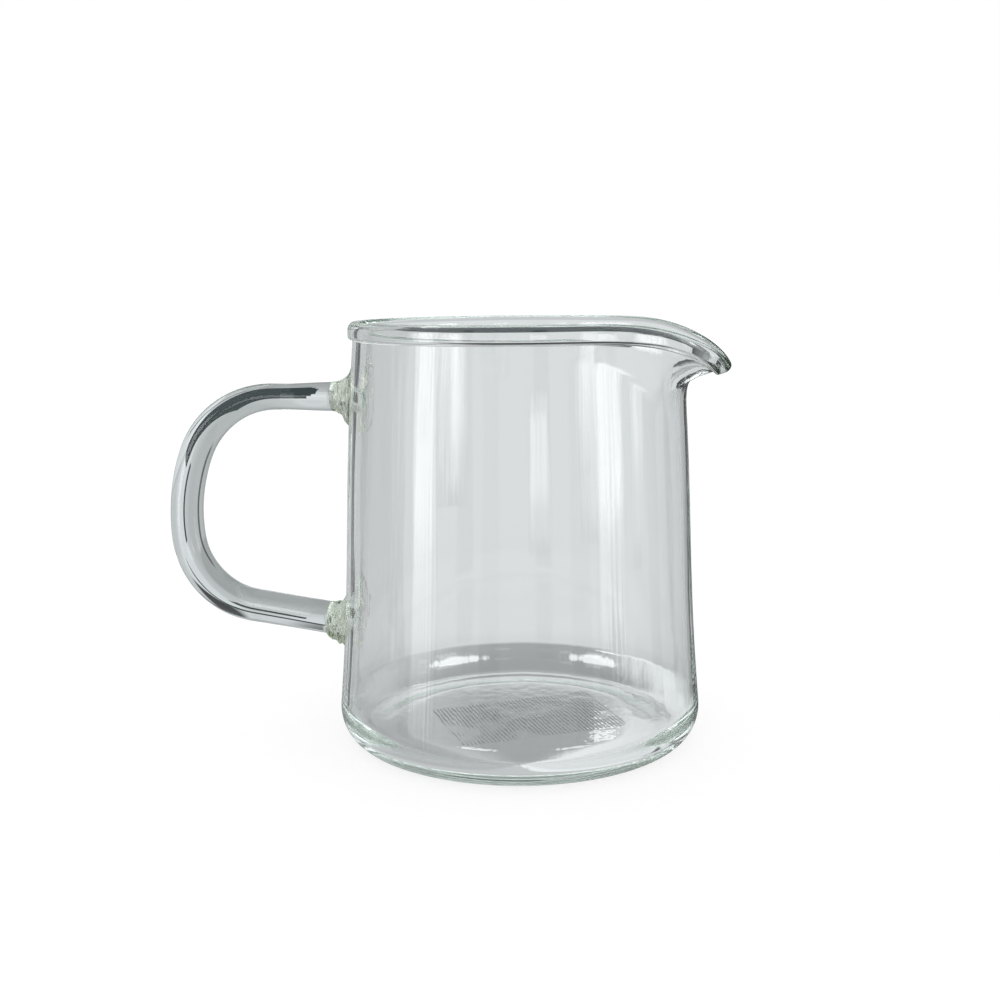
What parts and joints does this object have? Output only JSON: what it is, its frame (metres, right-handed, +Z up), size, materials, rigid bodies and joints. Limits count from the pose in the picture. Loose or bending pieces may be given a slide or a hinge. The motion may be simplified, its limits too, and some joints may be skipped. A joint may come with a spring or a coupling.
{
  "type": "glass pitcher",
  "caption": "Small clear glass pitcher: a tapering blown cup with a rolled rim, a pulled pouring lip and a bent glass rod as its handle.",
  "frame": {"origin": "centre of the foot, on the cup's axis, in the plane the pitcher stands on", "axes": "+Z up along the cup's axis, +X from the axis out through the pouring lip, so the handle lies towards -X"},
  "size_m": [0.1368, 0.0864, 0.0987],
  "materials": {
    "blown_glass": "clear fire-polished glass with faint drawn streaks",
    "rod_glass": "clear solid glass rod with faint lengthwise lines",
    "weld_glass": "clear melted glass, rippled, faintly yellow-green",
    "clear_film": null
  },
  "bodies": {
    "root": {"vessel_body": "blown_glass", "rim_bead": "blown_glass", "pouring_lip": "blown_glass", "handle_rod": "rod_glass", "upper_weld": "weld_glass", "lower_weld": "weld_glass", "base_label": "clear_film"}
  },
  "joints": []
}
